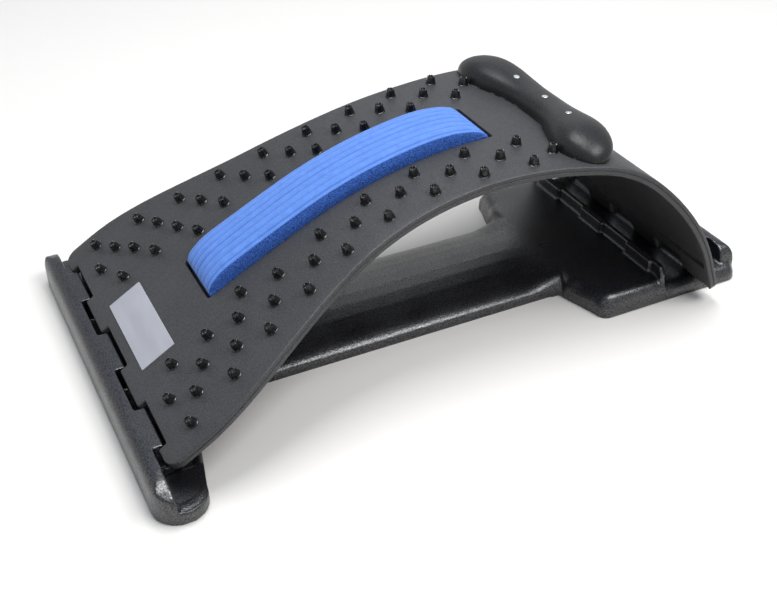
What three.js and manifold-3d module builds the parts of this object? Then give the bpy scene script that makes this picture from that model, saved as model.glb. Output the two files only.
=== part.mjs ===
import * as THREE from "three";
import { mergeVertices } from "three/addons/utils/BufferGeometryUtils.js";
import Module from "manifold-3d";

const wasm = await Module();
wasm.setup();

// An arched back stretcher: a low base, a curved board that hooks into its left end and stands against
// a stop wall at its right end, two rows of massage nubs, a foam pad and a hump with three magnets.
// Lengths are in millimetres and angles in degrees. X runs along the object, Y across it, Z up.

// Shared fits
const clearance = 0.3;
const trimDepth = 20;
const overlap = 1;
const stationStep = 6.5;

// Base plan
const lobeRadius = 14.2;
const lobeOffset = 104.8;
const barInnerX = 37;
const flareStartY = 67;
const flareControlX = 46;
const flareEndX = 83;
const bridgeHalfWidth = 39.2;
const platformHalfWidth = 73.5;
const platformLead = 42.5;
const cornerSlant = 7;
const filletRun = 27;
const filletControlRun = 12;
const filletFlare = 4.5;
const endRun = 29;
const platformCornerRadius = 8;

// Base heights and walls
const barHeight = 7.6;
const barRound = 2.5;
const bridgeSideHeight = 3.4;
const bridgeShoulderRun = 12;
const bridgeShoulderHeight = 10;
const bridgeCrown = 13.6;
const leadHeight = 14;
const leadRoundRise = 9.5;
const deckHeight = 9.8;
const deckRoundRise = 8.5;
const deckRoundRun = 5.5;
const baseWall = 2.5;
const ribThickness = 4;
const pocketRim = 2.6;
const pocketFloor = 6;

// End lips and the tabs that hold the board
const leftLipCrest = 20;
const leftLipCrestInnerX = 9.6;
const leftLipFootInnerX = 10.8;
const leftLipEndRound = 20;
const lipOuterRound = 8.6;
const rightLipCrest = 20;
const rightLipCrestInnerX = 9.5;
const rightLipFootInnerX = 10.7;
const rightLipInset = 6.5;
const rightLipEndRound = 10;
const tabTipX = 15.4;
const centreTabHalfWidth = 16.8;
const sideTabStart = 52.8;
const sideTabEnd = 83.8;
const tabPlay = 2;
const tabGap = 1;

// Stop walls
const wallCrest = 22;
const wallThickness = 3;
const wallPitch = 29.5;
const wallInset = 2.5;
const wallEndRound = 7;
const wallGap = 0.5;
const pilasterDepth = 2;
const centrePilasterHalfWidth = 11;
const sidePilasterStart = 36.6;
const sidePilasterEnd = 59.6;
const outerPilasterEnd = 51;
const stopPocketFloor = 3;
const stopPocketInset = 12.5;

// Board profile: four bent runs and one straight leg, measured along its top face
const boardStartX = 11.7;
const boardStartZ = 20.1;
const startAngle = 32.1;
const gentleRun = 125;
const gentleAngle = 6.3;
const longRun = 153.2;
const longAngle = 34.8;
const shoulderRun = 37;
const shoulderAngle = 32;
const fallRun = 69;
const fallAngle = 28.1;
const legRun = 24;

// Board plan and section
const waistStation = 203;
const waistHalfWidth = 63;
const leftHalfWidth = 101.7;
const rightHalfWidth = 88;
const leftReachShare = 0.9;
const leftBias = 1.4;
const rightReachShare = 0.88;
const leftCornerRadius = 8;
const rightCornerRadius = 8;
const boardSkin = 3;
const boardRimDepth = 5;
const boardRimWidth = 3;
const boardEdgeChamfer = 1;
const leftBand = 13;
const rightBand = 17;
const footInnerGap = 2;
const footWidth = 4;
const footHalfWidth = 88;
const footTop = 20;
const endNotchDepth = 17;
const endNotchPlay = 1;

// Pad slot, tray and pad
const slotStart = 59;
const slotEnd = 239;
const slotHalfWidth = 19.3;
const padStartGap = 1.8;
const padEndGap = 2.6;
const trayDepth = 5.4;
const trayWall = 1.6;
const padHeight = 8.1;
const padRiseRun = 20;
const padFallRun = 45;
const padFallPower = 1.8;
const padTopHalfWidth = 17.4;
const padWaistHalfWidth = 18.4;
const padShoulderDrop = 1.2;
const padCrown = 1;
const ridgeCount = 6;
const ridgeHeight = 0.7;

// Nubs
const nubBaseRadius = 2.8;
const nubTopRadius = 2;
const nubHeight = 4.8;
const nubCrownRadius = 1.2;
const nubCrownDepth = 0.7;
const nubPostRadius = 1.7;
const nubSides = 6;
const runnerThickness = 2;
const runnerHalfWidth = 2;
const firstNubStation = 241.5;
const rowPitch = 28.2;
const rowPitchDrop = 0.3;
const chevronStep = 17.2;
const chevronStepDrop = 1.28;
const ninthRowStation = 20.9;
const tenthRowStation = -2;
const lastRowStep = 9.4;
const outerNubShares = [0.86, 0.85, 0.82, 0.81, 0.82, 0.83, 0.81, 0.83, 0.86, null];
const middleNubShares = [0.7, 0.67, 0.66, 0.63, 0.64, 0.66, 0.66, 0.69, 0.72, null];
const innerNubShares = [null, 0.5, 0.49, 0.475, 0.48, 0.49, 0.5, 0.535, 0.6, 0.63];
const extraNubShares = [null, null, null, null, null, null, null, 0.38, 0.455, 0.435];

// Hump, magnets and label
const humpStation = 276.5;
const humpSideShift = 3;
const humpHalfWidth = 71.5;
const humpBulbOffset = 58;
const humpBulbHalfLength = 16.6;
const humpBulbHeight = 15.4;
const humpBulbLean = 4.5;
const humpWaistShift = 9.5;
const humpWaistHalfLength = 12.8;
const humpWaistHeight = 11;
const humpWaistHalfWidth = 8;
const humpEndRound = 38;
const humpEndPower = 2.2;
const humpSectionPower = 0.6;
const magnetAngle = 108;
const magnetRadius = 1.8;
const magnetDepth = 1.5;
const magnetPitch = 28;
const labelStart = 10.9;
const labelEnd = 32.2;
const labelHalfWidth = 31.5;
const labelThickness = 0.4;

// Materials
const baseBlack = new THREE.MeshStandardMaterial({ color: 0x1a1a1c, roughness: 0.42, metalness: 0 });
const boardGrey = new THREE.MeshStandardMaterial({ color: 0x38383b, roughness: 0.6, metalness: 0 });
const humpBlack = new THREE.MeshStandardMaterial({ color: 0x2c2c2f, roughness: 0.5, metalness: 0 });
const nubBlack = new THREE.MeshStandardMaterial({ color: 0x0b0b0d, roughness: 0.2, metalness: 0 });
const padBlue = new THREE.MeshStandardMaterial({ color: 0x5a8de8, roughness: 0.85, metalness: 0 });
const labelSilver = new THREE.MeshStandardMaterial({ color: 0xb8bcc8, roughness: 0.35, metalness: 0.5 });
const magnetSilver = new THREE.MeshStandardMaterial({ color: 0xd2d2d4, roughness: 0.3, metalness: 0.9 });

const radians = THREE.MathUtils.degToRad;

// Closed solids
function solidOf(source) {
  const bare = source.index ? source.toNonIndexed() : source.clone();
  bare.deleteAttribute("normal");
  bare.deleteAttribute("uv");
  const merged = mergeVertices(bare);
  return new wasm.Manifold(new wasm.Mesh({
    numProp: 3,
    vertProperties: new Float32Array(merged.attributes.position.array),
    triVerts: new Uint32Array(merged.index.array),
  }));
}

function closedSolid(points, faces) {
  let volume = 0;
  for (const [a, b, c] of faces) {
    volume += points[a].dot(new THREE.Vector3().crossVectors(points[b], points[c]));
  }
  const ordered = volume > 0 ? faces : faces.map(([a, b, c]) => [a, c, b]);
  return new wasm.Manifold(new wasm.Mesh({
    numProp: 3,
    vertProperties: new Float32Array(points.flatMap((p) => [p.x, p.y, p.z])),
    triVerts: new Uint32Array(ordered.flat()),
  }));
}

function meshOf(name, solid, material) {
  const { vertProperties, triVerts } = solid.getMesh();
  const geometry = new THREE.BufferGeometry();
  geometry.setAttribute("position", new THREE.BufferAttribute(vertProperties, 3));
  geometry.setIndex(new THREE.BufferAttribute(triVerts, 1));
  geometry.computeVertexNormals();
  const mesh = new THREE.Mesh(geometry, material);
  mesh.name = name;
  return mesh;
}

function block(x0, x1, y0, y1, z0, z1) {
  const geometry = new THREE.BoxGeometry(x1 - x0, y1 - y0, z1 - z0);
  geometry.translate((x0 + x1) / 2, (y0 + y1) / 2, (z0 + z1) / 2);
  return solidOf(geometry);
}

// A slab with a rounded top edge, drawn in plan and carried below the ground plane
function slab(shape, top, rise, run) {
  const geometry = new THREE.ExtrudeGeometry(shape, {
    depth: top + trimDepth - rise * 2,
    bevelEnabled: true,
    bevelThickness: rise,
    bevelSize: run,
    bevelOffset: -run,
    bevelSegments: 4,
    curveSegments: 7,
  });
  geometry.translate(0, 0, rise - trimDepth);
  return solidOf(geometry);
}

// A prism drawn in plan between two heights
function planPrism(shape, low, high) {
  const options = { depth: high - low, bevelEnabled: false, curveSegments: 7 };
  const geometry = new THREE.ExtrudeGeometry(shape, options);
  geometry.translate(0, 0, low);
  return solidOf(geometry);
}

// A prism drawn in X and Z and carried across the object
function crossPrism(shape, halfWidth) {
  const options = { depth: halfWidth * 2, bevelEnabled: false, curveSegments: 7 };
  const geometry = new THREE.ExtrudeGeometry(shape, options);
  geometry.translate(0, 0, -halfWidth);
  geometry.rotateX(Math.PI / 2);
  return solidOf(geometry);
}

// A prism drawn in Y and Z and carried along the object
function alongPrism(shape, start, end) {
  const options = { depth: end - start, bevelEnabled: false, curveSegments: 5 };
  const geometry = new THREE.ExtrudeGeometry(shape, options);
  geometry.translate(0, 0, start);
  geometry.rotateX(Math.PI / 2);
  geometry.rotateZ(Math.PI / 2);
  return solidOf(geometry);
}

// The board's curve
const runs = [
  [gentleRun, gentleAngle],
  [longRun, longAngle],
  [shoulderRun, shoulderAngle],
  [fallRun, fallAngle],
  [legRun, 0],
];
const boardLength = runs.reduce((sum, [run]) => sum + run, 0);

function along(station) {
  let x = boardStartX;
  let z = boardStartZ;
  let heading = radians(startAngle);
  let left = station;
  runs.forEach(([run, turnDegrees], index) => {
    const last = index === runs.length - 1;
    const first = index === 0;
    const part = last ? left : (first ? Math.min(left, run) : Math.min(Math.max(left, 0), run));
    const turn = radians(turnDegrees) * part / run;
    const half = turn / 2;
    const chord = half === 0 ? part : part * Math.sin(half) / half;
    if (!last || left > 0) {
      x += chord * Math.cos(heading - half);
      z += chord * Math.sin(heading - half);
      heading -= turn;
    }
    left -= part;
  });
  return { x, z, heading };
}

function bend(station, y, lift) {
  const { x, z, heading } = along(station);
  return new THREE.Vector3(x - lift * Math.sin(heading), y, z + lift * Math.cos(heading));
}

function smooth(share) {
  const t = Math.min(Math.max(share, 0), 1);
  return t * t * (3 - 2 * t);
}

function boardHalfWidth(station) {
  const leftShare = (waistStation - station) / waistStation / leftReachShare;
  const rightShare = (station - waistStation) / (boardLength - waistStation) / rightReachShare;
  if (station < waistStation) {
    return waistHalfWidth + (leftHalfWidth - waistHalfWidth) * smooth(Math.pow(leftShare, leftBias));
  }
  return waistHalfWidth + (rightHalfWidth - waistHalfWidth) * smooth(rightShare);
}

// How far a rounded corner of a plan draws in at a distance from the end
function cornerDrawIn(distance, radius) {
  if (distance >= radius) {
    return 0;
  }
  const reach = radius - distance;
  return radius - Math.sqrt(Math.max(radius * radius - reach * reach, 0));
}

function stationsBetween(from, to, endRounds) {
  const count = Math.max(Math.ceil((to - from) / stationStep), 1);
  const list = [];
  for (let i = 0; i <= count; i += 1) {
    list.push(from + (to - from) * i / count);
  }
  const [startRound, endRound] = endRounds;
  const cornerShares = [0.06, 0.22, 0.5];
  const extra = cornerShares.flatMap((share) => [from + startRound * share, to - endRound * share]);
  const all = startRound > 0 ? list.concat(extra) : list;
  return all.sort((a, b) => a - b);
}

// Rings of points joined into one closed solid
function loft(rings, outline) {
  const count = rings[0].length;
  const faces = [];
  for (let i = 0; i < rings.length - 1; i += 1) {
    for (let j = 0; j < count; j += 1) {
      const a = i * count + j;
      const b = i * count + (j + 1) % count;
      faces.push([a, b, b + count], [a, b + count, a + count]);
    }
  }
  const last = (rings.length - 1) * count;
  for (const [a, b, c] of THREE.ShapeUtils.triangulateShape(outline[0], [])) {
    faces.push([c, b, a]);
  }
  for (const [a, b, c] of THREE.ShapeUtils.triangulateShape(outline[1], [])) {
    faces.push([last + a, last + b, last + c]);
  }
  return closedSolid(rings.flat(), faces);
}

function bentLoft(stations, ringAt) {
  const flat = stations.map(ringAt);
  const rings = flat.map((ring, i) => ring.map(([y, lift]) => bend(stations[i], y, lift)));
  const ends = [flat[0], flat[flat.length - 1]];
  const outline = ends.map((ring) => ring.map(([y, lift]) => new THREE.Vector2(y, lift)));
  return loft(rings, outline);
}

function bentBlock(from, to, y0, y1, low, high) {
  return bentLoft(stationsBetween(from, to, [0, 0]), () => [[y0, low], [y1, low], [y1, high], [y0, high]]);
}

// The stop walls stand just outboard of the board's foot and one pitch inboard of it
const deckGap = deckHeight + clearance;
const legHeading = along(boardLength).heading;
const legEnd = along(boardLength);
const boardFootX = legEnd.x + (deckGap - legEnd.z) / Math.tan(legHeading);
const outerWallX = boardFootX + wallGap;
const innerWallX = outerWallX - wallPitch;

// Base sizes that follow from the stop walls and from one another
const baseLength = outerWallX + endRun;
const platformCornerX = innerWallX - platformLead;
const platformInnerX = platformCornerX - cornerSlant;
const platformInnerY = bridgeHalfWidth + filletFlare;
const filletStartX = platformCornerX - filletRun;
const wallHalfWidth = platformHalfWidth - wallInset;
const stopPocketHalfWidth = platformHalfWidth - stopPocketInset;
const rightLipHalfWidth = platformHalfWidth - rightLipInset;

// Base plan shapes
function barShape() {
  const shape = new THREE.Shape();
  shape.moveTo(0, -lobeOffset);
  shape.absarc(lobeRadius, -lobeOffset, lobeRadius, Math.PI, Math.PI * 2, false);
  shape.lineTo(barInnerX, -flareStartY);
  shape.quadraticCurveTo(flareControlX, -bridgeHalfWidth, flareEndX, -bridgeHalfWidth);
  shape.lineTo(flareEndX, bridgeHalfWidth);
  shape.quadraticCurveTo(flareControlX, bridgeHalfWidth, barInnerX, flareStartY);
  shape.lineTo(lobeRadius * 2, lobeOffset);
  shape.absarc(lobeRadius, lobeOffset, lobeRadius, 0, Math.PI, false);
  return shape;
}

function platformShape() {
  const cornerY = platformHalfWidth - platformCornerRadius;
  const shape = new THREE.Shape();
  shape.moveTo(platformInnerX, -platformInnerY);
  shape.lineTo(platformCornerX, -cornerY);
  shape.quadraticCurveTo(platformCornerX + clearance, -platformHalfWidth,
    platformCornerX + platformCornerRadius, -platformHalfWidth);
  shape.lineTo(baseLength - platformCornerRadius, -platformHalfWidth);
  shape.absarc(baseLength - platformCornerRadius, -cornerY, platformCornerRadius, -Math.PI / 2, 0, false);
  shape.absarc(baseLength - platformCornerRadius, cornerY, platformCornerRadius, 0, Math.PI / 2, false);
  shape.lineTo(platformCornerX + platformCornerRadius, platformHalfWidth);
  shape.quadraticCurveTo(platformCornerX + clearance, platformHalfWidth, platformCornerX, cornerY);
  shape.lineTo(platformInnerX, platformInnerY);
  return shape;
}

// The bridge between the ends: its section widens and flattens where it runs into the platform
function bridgeRing(x) {
  const share = Math.max(x - filletStartX, 0) / filletRun;
  const flat = smooth(share);
  const controlShare = filletControlRun / filletRun;
  const half = bridgeHalfWidth + filletFlare * share * Math.max(share - controlShare / 2, 0);
  const shoulderHeight = bridgeShoulderHeight + (leadHeight - bridgeShoulderHeight) * flat;
  const crown = bridgeCrown + (leadHeight - bridgeCrown) * flat;
  const shoulderY = half - bridgeShoulderRun;
  const cornerDrop = (crown - shoulderHeight) * 2 * bridgeShoulderRun / shoulderY;
  const shape = new THREE.Shape();
  shape.moveTo(-half, -trimDepth);
  shape.lineTo(half, -trimDepth);
  shape.lineTo(half, bridgeSideHeight);
  shape.quadraticCurveTo(half, shoulderHeight - cornerDrop, shoulderY, shoulderHeight);
  shape.quadraticCurveTo(0, crown * 2 - shoulderHeight, -shoulderY, shoulderHeight);
  shape.quadraticCurveTo(-half, shoulderHeight - cornerDrop, -half, bridgeSideHeight);
  return shape.getPoints(6);
}

function makeBridge() {
  const shares = [0, 0.2, 0.4, 0.6, 0.8, 1];
  const end = platformCornerX + platformCornerRadius;
  const stations = [barInnerX].concat(shares.map((share) => filletStartX + filletRun * share), [end]);
  const flat = stations.map((x) => bridgeRing(Math.min(x, platformCornerX)));
  const rings = flat.map((ring, i) => ring.map((p) => new THREE.Vector3(stations[i], p.x, p.y)));
  return loft(rings, [flat[0], flat[flat.length - 1]]);
}

// The trough between the left lip and the bar's inner side, which the board's foot stands in
function troughShape() {
  const nearX = lobeRadius * 2 - pocketRim;
  const innerX = barInnerX - pocketRim;
  const tipY = lobeOffset + lobeRadius / 2;
  const shape = new THREE.Shape();
  shape.moveTo(leftLipFootInnerX, -tipY);
  shape.quadraticCurveTo(nearX, -tipY, nearX, -lobeOffset + lobeRadius / 2);
  shape.lineTo(innerX, -flareStartY);
  shape.lineTo(innerX, flareStartY);
  shape.lineTo(nearX, lobeOffset - lobeRadius / 2);
  shape.quadraticCurveTo(nearX, tipY, leftLipFootInnerX, tipY);
  return shape;
}

function lipShape(crest, crestInnerX, footInnerX) {
  const shape = new THREE.Shape();
  shape.moveTo(0, -trimDepth);
  shape.lineTo(footInnerX, -trimDepth);
  shape.lineTo(footInnerX, stopPocketFloor);
  shape.lineTo(crestInnerX, crest);
  shape.lineTo(lipOuterRound, crest);
  shape.quadraticCurveTo(0, crest, 0, crest - lipOuterRound);
  return shape;
}

// The outline of a lip or a wall seen along the object, with rounded upper corners
function elevationShape(halfWidth, crest, runIn, drop) {
  const shape = new THREE.Shape();
  shape.moveTo(-halfWidth, -trimDepth);
  shape.lineTo(halfWidth, -trimDepth);
  shape.lineTo(halfWidth, crest - drop);
  shape.quadraticCurveTo(halfWidth, crest, halfWidth - runIn, crest);
  shape.lineTo(runIn - halfWidth, crest);
  shape.quadraticCurveTo(-halfWidth, crest, -halfWidth, crest - drop);
  return shape;
}

const pilasterSpans = (sideEnd) => [
  [-sideEnd, -sidePilasterStart],
  [-centrePilasterHalfWidth, centrePilasterHalfWidth],
  [sidePilasterStart, sideEnd],
];

function stopWall(faceX) {
  const outline = elevationShape(wallHalfWidth, wallCrest, wallEndRound, wallEndRound * 2);
  const foot = block(faceX - overlap, faceX + wallThickness + overlap, -wallHalfWidth, wallHalfWidth,
    bridgeSideHeight, wallCrest + overlap);
  let wall = alongPrism(outline, faceX, faceX + wallThickness).intersect(foot);
  for (const [y0, y1] of pilasterSpans(sidePilasterEnd)) {
    wall = wall.add(block(faceX - pilasterDepth, faceX + overlap, y0, y1, bridgeSideHeight, wallCrest));
  }
  return wall;
}

const tabSpans = [
  [-sideTabEnd, -sideTabStart],
  [-centreTabHalfWidth, centreTabHalfWidth],
  [sideTabStart, sideTabEnd],
];

function makeBase() {
  const bar = slab(barShape(), barHeight, barRound, barRound);
  const platform = slab(platformShape(), deckHeight, deckRoundRise, deckRoundRun);
  const leadEnd = innerWallX + wallThickness;
  const lead = slab(platformShape(), leadHeight, leadRoundRise, deckRoundRun)
    .intersect(block(0, leadEnd, -platformHalfWidth, platformHalfWidth, 0, leadHeight + overlap));
  let base = bar.add(makeBridge()).add(platform).add(lead);

  base = base.subtract(planPrism(troughShape(), pocketFloor, bridgeCrown));
  const stopPocketX = outerWallX + wallThickness + clearance;
  base = base.subtract(block(stopPocketX, baseLength - rightLipFootInnerX, -stopPocketHalfWidth,
    stopPocketHalfWidth, stopPocketFloor, deckHeight + overlap));

  const barHalfWidth = lobeOffset + lobeRadius;
  const leftOutline = elevationShape(barHalfWidth, leftLipCrest, leftLipEndRound, leftLipCrest - pocketFloor);
  const leftLip = crossPrism(lipShape(leftLipCrest, leftLipCrestInnerX, leftLipFootInnerX), barHalfWidth)
    .intersect(alongPrism(leftOutline, 0, leftLipFootInnerX + overlap))
    .intersect(planPrism(barShape(), -trimDepth, leftLipCrest + overlap));
  const lipPilasterX = baseLength - rightLipFootInnerX;
  const rightDrop = rightLipCrest - pocketFloor;
  const rightOutline = elevationShape(rightLipHalfWidth, rightLipCrest, rightLipEndRound, rightDrop);
  const rightLip = crossPrism(lipShape(rightLipCrest, rightLipCrestInnerX, rightLipFootInnerX), barHalfWidth)
    .rotate([0, 0, 180])
    .translate([baseLength, 0, 0])
    .intersect(alongPrism(rightOutline, lipPilasterX - overlap, baseLength));
  base = base.add(leftLip).add(rightLip);

  for (const [y0, y1] of tabSpans) {
    base = base.add(block(lipOuterRound, tabTipX, y0, y1, stopPocketFloor, leftLipCrest));
  }
  for (const [y0, y1] of pilasterSpans(outerPilasterEnd)) {
    base = base.add(block(lipPilasterX - pilasterDepth, lipPilasterX + overlap, y0, y1,
      stopPocketFloor - overlap, rightLipCrest));
  }
  base = base.add(stopWall(innerWallX)).add(stopWall(outerWallX));

  const rib = ribThickness / 2;
  const bridgeInnerY = bridgeHalfWidth - bridgeShoulderRun;
  const platformHollowY = platformHalfWidth - deckRoundRun;
  const bridgeHollowTop = bridgeShoulderHeight - baseWall;
  for (const side of [-1, 1]) {
    const near = side * rib;
    const hollow = (x0, x1, y1, top) => {
      const far = side * y1;
      return block(x0, x1, Math.min(near, far), Math.max(near, far), -trimDepth, top);
    };
    base = base.subtract(hollow(leftLipFootInnerX, barInnerX - pocketRim, flareStartY,
      pocketFloor - baseWall));
    base = base.subtract(hollow(barInnerX + rib, platformInnerX, bridgeInnerY, bridgeHollowTop));
    base = base.subtract(hollow(platformCornerX + rib, innerWallX, platformHollowY, deckHeight - baseWall));
    base = base.subtract(hollow(innerWallX + ribThickness, stopPocketX - baseWall, platformHollowY,
      deckHeight - baseWall));
  }
  const below = block(-trimDepth, baseLength + trimDepth, -baseLength, baseLength, -trimDepth * 2, 0);
  return base.subtract(below);
}

// Nubs: columns run in chevrons, so each row steps along the board as it goes inward
const rowCount = outerNubShares.length;
const lastRowStations = [ninthRowStation, tenthRowStation];
const nearRows = rowCount - lastRowStations.length;

function nubPlaces(row, side) {
  const special = row >= nearRows;
  const start = special
    ? lastRowStations[row - nearRows]
    : firstNubStation - rowPitch * row + rowPitchDrop * row * (row - 1) / 2;
  const step = special ? lastRowStep : chevronStep - chevronStepDrop * row;
  const shares = [outerNubShares[row], middleNubShares[row], innerNubShares[row], extraNubShares[row]];
  return shares
    .map((share, column) => ({ share, station: start + step * column }))
    .filter(({ share }) => share !== null)
    .map(({ share, station }) => ({ station, y: side * share * boardHalfWidth(station) }));
}

const runnerTop = -boardSkin - clearance;
const runnerBottom = runnerTop - runnerThickness;

function turned(profile, { station, y }) {
  const points = profile.map(([radius, lift]) => new THREE.Vector2(radius, lift));
  const geometry = new THREE.LatheGeometry(points, nubSides);
  geometry.rotateX(Math.PI / 2);
  geometry.rotateY(-along(station).heading);
  const foot = bend(station, y, 0);
  geometry.translate(foot.x, foot.y, foot.z);
  return solidOf(geometry);
}

function nub(place) {
  const middle = (runnerTop + runnerBottom) / 2;
  return turned([
    [0, middle],
    [nubPostRadius, middle],
    [nubPostRadius, clearance],
    [nubBaseRadius, clearance],
    [nubTopRadius, nubHeight],
    [nubCrownRadius, nubHeight - nubCrownDepth],
    [0, nubHeight - nubCrownDepth],
  ], place);
}

function nubHole(place) {
  const radius = nubPostRadius + clearance;
  return turned([
    [0, -boardRimDepth],
    [radius, -boardRimDepth],
    [radius, overlap],
    [0, overlap],
  ], place);
}

function runner(places) {
  const first = places[0];
  const last = places[places.length - 1];
  const stations = stationsBetween(first.station, last.station, [0, 0]);
  const centre = (station) => {
    const after = places.findIndex((place) => place.station >= station - clearance);
    const b = places[Math.max(after, 1)];
    const a = places[Math.max(after, 1) - 1];
    return a.y + (b.y - a.y) * (station - a.station) / (b.station - a.station);
  };
  return bentLoft(stations, (station) => {
    const y = centre(station);
    return [
      [y - runnerHalfWidth, runnerBottom],
      [y + runnerHalfWidth, runnerBottom],
      [y + runnerHalfWidth, runnerTop],
      [y - runnerHalfWidth, runnerTop],
    ];
  });
}

// Board
const boardStations = stationsBetween(0, boardLength, [leftCornerRadius, rightCornerRadius]);

function boardEdge(station) {
  return boardHalfWidth(station)
    - cornerDrawIn(station, leftCornerRadius)
    - cornerDrawIn(boardLength - station, rightCornerRadius);
}

function makeBoard() {
  let board = bentLoft(boardStations, (station) => {
    const w = boardEdge(station);
    return [
      [-w, -boardRimDepth],
      [w, -boardRimDepth],
      [w, -boardEdgeChamfer],
      [w - boardEdgeChamfer, 0],
      [boardEdgeChamfer - w, 0],
      [-w, -boardEdgeChamfer],
    ];
  });
  const inside = stationsBetween(leftBand, boardLength - rightBand, [0, 0]);
  board = board.subtract(bentLoft(inside, (station) => {
    const w = boardHalfWidth(station) - boardRimWidth;
    const low = -boardRimDepth - overlap;
    return [[-w, low], [w, low], [w, -boardSkin], [-w, -boardSkin]];
  }));

  const trayY = slotHalfWidth + trayWall;
  board = board.add(bentBlock(slotStart - trayWall, slotEnd + trayWall, -trayY, trayY,
    -trayDepth - trayWall, -boardSkin / 2));
  board = board.subtract(bentBlock(slotStart, slotEnd, -slotHalfWidth, slotHalfWidth, -trayDepth, overlap));

  const footX = tabTipX + footInnerGap;
  board = board.add(block(footX, footX + footWidth, -footHalfWidth, footHalfWidth,
    pocketFloor + clearance, footTop));

  const notchEnd = (tabTipX + tabGap - boardStartX) / Math.cos(radians(startAngle));
  for (const [y0, y1] of tabSpans) {
    board = board.subtract(bentBlock(-overlap, notchEnd, y0 - tabPlay, y1 + tabPlay,
      -boardRimDepth * 2, overlap));
  }
  for (const [y0, y1] of pilasterSpans(sidePilasterEnd)) {
    board = board.subtract(bentBlock(boardLength - endNotchDepth, boardLength + overlap,
      y0 - endNotchPlay, y1 + endNotchPlay, -boardRimDepth * 2, overlap));
  }
  for (let row = 0; row < rowCount; row += 1) {
    for (const side of [-1, 1]) {
      for (const place of nubPlaces(row, side)) {
        board = board.subtract(nubHole(place));
      }
    }
  }
  const below = block(innerWallX, baseLength, -baseLength, baseLength, -trimDepth, deckGap);
  return board.subtract(below);
}

// Foam pad: steep at its left end, long and low at its right, with ridges along the top
function padTop(station) {
  const start = slotStart + padStartGap;
  const end = slotEnd - padEndGap;
  const rise = Math.min((station - start) / padRiseRun, 1);
  const fall = Math.min((end - station) / padFallRun, 1);
  const left = Math.sqrt(Math.max(1 - (1 - rise) * (1 - rise), 0));
  const right = 1 - Math.pow(1 - fall, padFallPower);
  return padHeight * left * right;
}

function makePad() {
  const start = slotStart + padStartGap;
  const end = slotEnd - padEndGap;
  const riseShares = [0, 0.04, 0.14, 0.32, 0.6];
  const stations = riseShares.map((share) => start + padRiseRun * share)
    .concat(stationsBetween(start + padRiseRun, end, [0, 0]));
  const bottom = clearance - trayDepth;
  const slotY = slotHalfWidth - clearance;
  return bentLoft(stations, (station) => {
    const top = padTop(station);
    const full = Math.min(top / padHeight, 1);
    const shoulder = top - padShoulderDrop * full;
    const ring = [[-slotY, bottom], [slotY, bottom], [slotY, -clearance], [padWaistHalfWidth, shoulder / 2]];
    const steps = ridgeCount * 3;
    const crest = [];
    for (let i = 0; i <= steps; i += 1) {
      const across = 1 - 2 * i / steps;
      const ripple = i % 3 === 0 ? 0 : ridgeHeight;
      const lift = shoulder + (ripple + padCrown * (1 - across * across)) * full;
      crest.push([padTopHalfWidth * across, Math.max(lift, clearance)]);
    }
    return ring.concat(crest, [[-padWaistHalfWidth, shoulder / 2], [-slotY, -clearance]]);
  });
}

// Hump: two bulbs with a low waist between them
function humpBlend(y) {
  const reach = Math.max(Math.abs(y) - humpWaistHalfWidth, 0);
  return smooth(reach / (humpBulbOffset - humpWaistHalfWidth));
}

function humpEnd(y) {
  const reach = Math.max(Math.abs(y) - (humpHalfWidth - humpEndRound), 0) / humpEndRound;
  return Math.pow(Math.max(1 - Math.pow(reach, humpEndPower), 0), 1 / humpEndPower);
}

// A point of the hump's skin; y is measured from the hump's middle and the angle runs from right to left
function humpPoint(y, angle) {
  const blend = humpBlend(y);
  const centre = humpStation + humpWaistShift * (1 - blend);
  const half = (humpWaistHalfLength + (humpBulbHalfLength - humpWaistHalfLength) * blend) * humpEnd(y);
  const height = (humpWaistHeight + (humpBulbHeight - humpWaistHeight) * blend) * humpEnd(y);
  const rise = Math.sin(angle);
  const station = centre + half * Math.cos(angle) + humpBulbLean * blend * humpEnd(y) * rise;
  return [station, clearance * 2 + (height - clearance) * Math.pow(Math.max(rise, 0), humpSectionPower)];
}

function humpPlaces() {
  const shares = [0, 0.13, 0.27, 0.42, 0.56, 0.69, 0.78, 0.86, 0.93, 0.975, 0.995];
  const right = shares.map((share) => share * humpHalfWidth);
  return right.slice(1).reverse().map((y) => -y).concat(right);
}

function makeHump() {
  const around = 12;
  const ringAt = (y) => {
    const ring = [];
    for (let i = 0; i <= around; i += 1) {
      ring.push(humpPoint(y, Math.PI * i / around));
    }
    const [right] = ring[0];
    const [left] = ring[around];
    const below = around / 2;
    for (let i = 0; i <= below; i += 1) {
      ring.push([left + (right - left) * i / below, clearance]);
    }
    return ring;
  };
  const places = humpPlaces();
  const flat = places.map(ringAt);
  const rings = flat.map((ring, i) => ring.map(([station, lift]) => (
    bend(station, places[i] + humpSideShift, lift))));
  const ends = [flat[0], flat[flat.length - 1]];
  const outline = ends.map((ring) => ring.map(([station, lift]) => new THREE.Vector2(station, lift)));
  return loft(rings, outline);
}

function humpSkin(y, degrees) {
  const [station, lift] = humpPoint(y, radians(degrees));
  return bend(station, y + humpSideShift, lift);
}

function magnetFrame(y) {
  const top = humpSkin(y, magnetAngle);
  const across = humpSkin(y + overlap, magnetAngle).sub(humpSkin(y - overlap, magnetAngle)).normalize();
  const forward = humpSkin(y, magnetAngle - 1).sub(humpSkin(y, magnetAngle + 1)).normalize();
  const up = new THREE.Vector3().crossVectors(forward, across).normalize();
  across.crossVectors(up, forward);
  return new THREE.Matrix4().makeBasis(forward, across, up).setPosition(top);
}

function disc(y, radius, low, high, sides) {
  const geometry = new THREE.CylinderGeometry(radius, radius, high - low, sides);
  geometry.rotateX(Math.PI / 2);
  geometry.translate(0, 0, (low + high) / 2);
  geometry.applyMatrix4(magnetFrame(y));
  return solidOf(geometry);
}

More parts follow.
